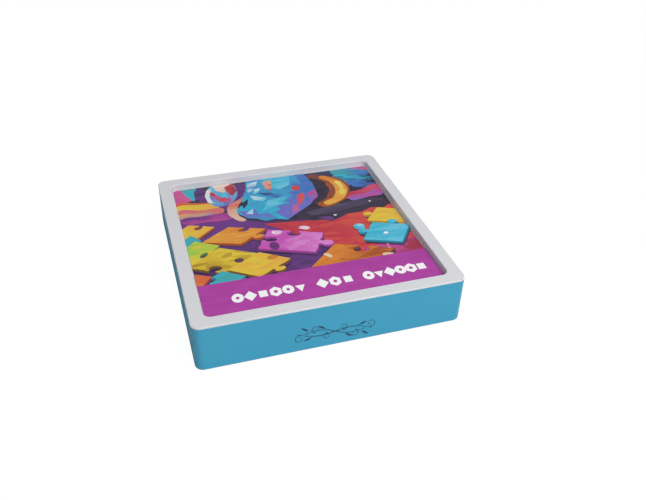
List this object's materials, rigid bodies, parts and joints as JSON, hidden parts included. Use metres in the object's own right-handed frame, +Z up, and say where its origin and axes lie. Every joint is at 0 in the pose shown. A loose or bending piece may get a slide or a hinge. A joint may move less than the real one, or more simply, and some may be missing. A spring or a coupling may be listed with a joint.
{
  "type": "sliding tile puzzle",
  "caption": "Square tabletop sliding tile puzzle: blue case, white frame, loose tiles in a tray with a free cell, and a lift-out picture cover.",
  "frame": {"origin": "on the table plane, under the middle of the case", "axes": "+Z up, +X to the right and -Y towards a player who faces the front"},
  "size_m": [0.16, 0.16, 0.0315],
  "materials": {
    "case_plastic": "satin moulded, blue",
    "frame_plastic": "satin moulded, near white",
    "tray_plastic": "satin moulded, slate grey",
    "cover_board": "white board",
    "cover_sheet": "printed and laminated",
    "tile_plastic": "glossy moulded, cream",
    "screw_steel": "zinc plated",
    "foot_rubber": "matt, dark grey"
  },
  "bodies": {
    "case": {"case_shell": "case_plastic", "top_frame": "frame_plastic", "tile_tray": "tray_plastic", "tile_01": "tile_plastic", "tile_02": "tile_plastic", "tile_03": "tile_plastic", "tile_05": "tile_plastic", "tile_06": "tile_plastic", "tile_07": "tile_plastic", "tile_09": "tile_plastic", "tile_10": "tile_plastic", "tile_11": "tile_plastic", "foot_front_left": "foot_rubber", "foot_front_right": "foot_rubber", "foot_back_left": "foot_rubber", "foot_back_right": "foot_rubber"},
    "cover": {"cover_panel": "cover_board", "cover_print": "cover_sheet"},
    "tile_13": {"tile_13": "tile_plastic"},
    "tile_14": {"tile_14": "tile_plastic"},
    "tile_15": {"tile_15": "tile_plastic"},
    "tile_04": {"tile_04": "tile_plastic"},
    "tile_08": {"tile_08": "tile_plastic"},
    "tile_12": {"tile_12": "tile_plastic"},
    "screw_front_left": {"screw_front_left": "screw_steel"},
    "screw_front_right": {"screw_front_right": "screw_steel"},
    "screw_back_left": {"screw_back_left": "screw_steel"},
    "screw_back_right": {"screw_back_right": "screw_steel"}
  },
  "joints": [
    {"name": "cover_lift", "type": "slide", "parent": "case", "child": "cover", "axis": [0, 0, 1], "range_m": [0, 0.06]},
    {"name": "row_push", "type": "slide", "parent": "case", "child": "tile_13", "axis": [1, 0, 0], "range_m": [0, 0.0348]},
    {"name": "row_push_tile_14", "type": "slide", "parent": "case", "child": "tile_14", "axis": [1, 0, 0], "range_m": [0, 0.0348]},
    {"name": "row_push_tile_15", "type": "slide", "parent": "case", "child": "tile_15", "axis": [1, 0, 0], "range_m": [0, 0.0348]},
    {"name": "column_push", "type": "slide", "parent": "case", "child": "tile_04", "axis": [0, 1, 0], "range_m": [-0.0348, 0]},
    {"name": "column_push_tile_08", "type": "slide", "parent": "case", "child": "tile_08", "axis": [0, 1, 0], "range_m": [-0.0348, 0]},
    {"name": "column_push_tile_12", "type": "slide", "parent": "case", "child": "tile_12", "axis": [0, 1, 0], "range_m": [-0.0348, 0]},
    {"name": "screw_front_left_withdraw", "type": "slide", "parent": "case", "child": "screw_front_left", "axis": [0, 0, -1], "range_m": [0, 0.0242]},
    {"name": "screw_front_right_withdraw", "type": "slide", "parent": "case", "child": "screw_front_right", "axis": [0, 0, -1], "range_m": [0, 0.0242]},
    {"name": "screw_back_left_withdraw", "type": "slide", "parent": "case", "child": "screw_back_left", "axis": [0, 0, -1], "range_m": [0, 0.0242]},
    {"name": "screw_back_right_withdraw", "type": "slide", "parent": "case", "child": "screw_back_right", "axis": [0, 0, -1], "range_m": [0, 0.0242]}
  ],
  "couplings": [
    {"joint": "row_push_tile_14", "follows": "row_push", "ratio": 1},
    {"joint": "row_push_tile_15", "follows": "row_push", "ratio": 1},
    {"joint": "column_push_tile_08", "follows": "column_push", "ratio": 1},
    {"joint": "column_push_tile_12", "follows": "column_push", "ratio": 1}
  ]
}
